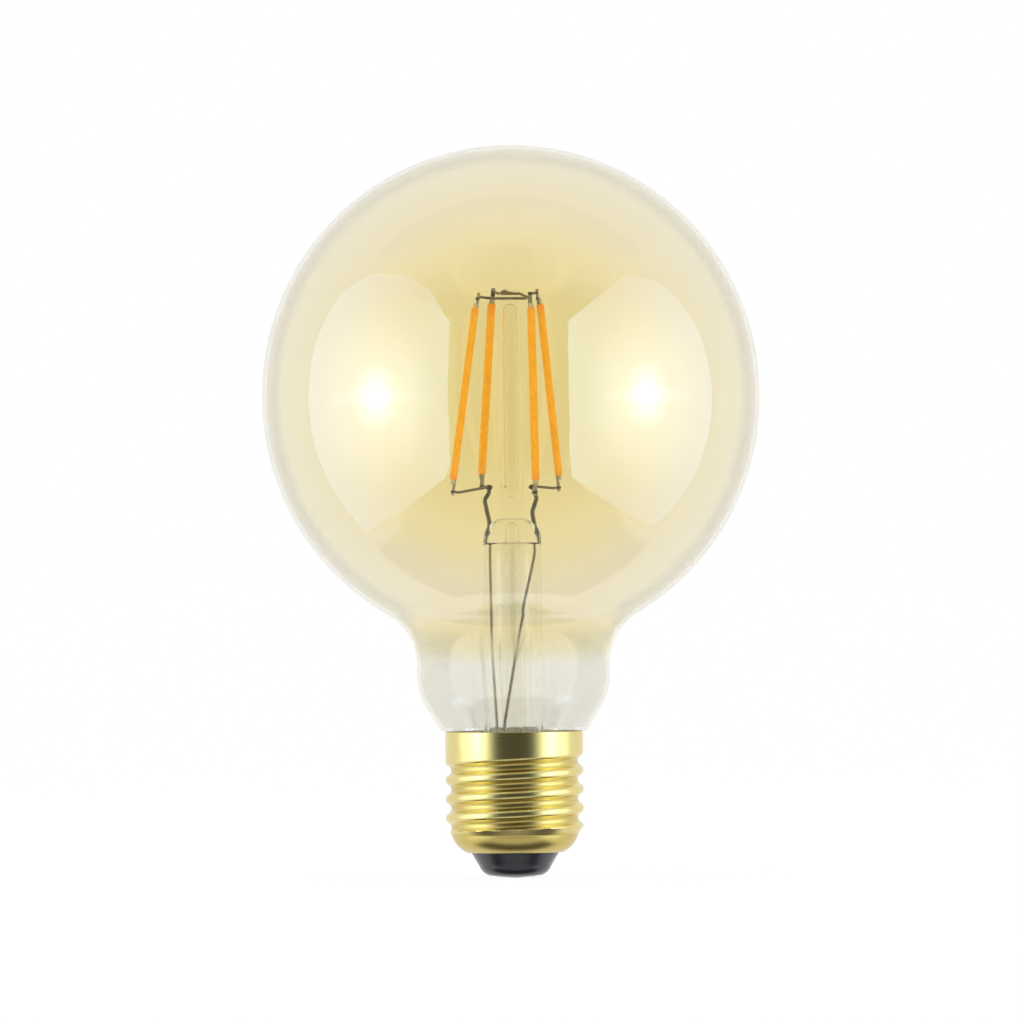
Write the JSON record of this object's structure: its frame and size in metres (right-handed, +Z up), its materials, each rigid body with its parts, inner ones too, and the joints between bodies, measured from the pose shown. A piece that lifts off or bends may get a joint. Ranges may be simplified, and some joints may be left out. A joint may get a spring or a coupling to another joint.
{
  "type": "globe filament bulb",
  "caption": "Amber glass globe bulb on a brass screw cap, with upright LED filament sticks on a clear glass stem inside.",
  "frame": {"origin": "lowest point of the centre contact, on the axis of the screw cap", "axes": "+Z up the axis from the centre contact to the crown of the globe, +X to the right in the picture, +Y away from the viewer"},
  "size_m": [0.095, 0.095, 0.14],
  "materials": {
    "amber_glass": "gold-tinted clear glass that fades to clear at the neck",
    "clear_glass": "clear",
    "phosphor": "soft orange silicone coat",
    "led_carrier": "white carrier with chips",
    "nickel": "nickel wire and strip",
    "copper_lead": "copper-clad lead wire",
    "tinned_wire": "tinned",
    "brass": "bright rolled brass",
    "cement": "cured capping cement",
    "black_insulator": "satin black",
    "contact_metal": "tinned brass",
    "solder": "dull solder",
    "board": "green solder mask",
    "moulded_black": "moulded",
    "capacitor_sleeve": "sleeved can",
    "resistor_coat": "flameproof coat"
  },
  "bodies": {
    "root": {"glass_globe": "amber_glass", "stem_flare": "clear_glass", "exhaust_tube": "clear_glass", "centre_pillar": "clear_glass", "chip_strip_front_left": "led_carrier", "filament_coat_front_left": "phosphor", "filament_tab_top_front_left": "nickel", "filament_tab_foot_front_left": "nickel", "chip_strip_back_left": "led_carrier", "filament_coat_back_left": "phosphor", "filament_tab_top_back_left": "nickel", "filament_tab_foot_back_left": "nickel", "chip_strip_front_right": "led_carrier", "filament_coat_front_right": "phosphor", "filament_tab_top_front_right": "nickel", "filament_tab_foot_front_right": "nickel", "chip_strip_back_right": "led_carrier", "filament_coat_back_right": "phosphor", "filament_tab_top_back_right": "nickel", "filament_tab_foot_back_right": "nickel", "lead_left": "copper_lead", "lead_right": "copper_lead", "post_left": "nickel", "post_right": "nickel", "lower_arm_left": "nickel", "lower_arm_right": "nickel", "top_jumper_lower": "nickel", "top_jumper_upper": "nickel", "cap_shell": "brass", "capping_cement": "cement", "cap_insulator": "black_insulator", "centre_contact": "contact_metal", "contact_solder": "solder", "neutral_wire": "copper_lead", "live_lead": "tinned_wire", "fuse_lead": "tinned_wire", "driver_board": "board", "bridge_rectifier": "moulded_black", "driver_chip": "moulded_black", "smoothing_capacitor": "capacitor_sleeve", "fuse_resistor": "resistor_coat"}
  },
  "joints": []
}
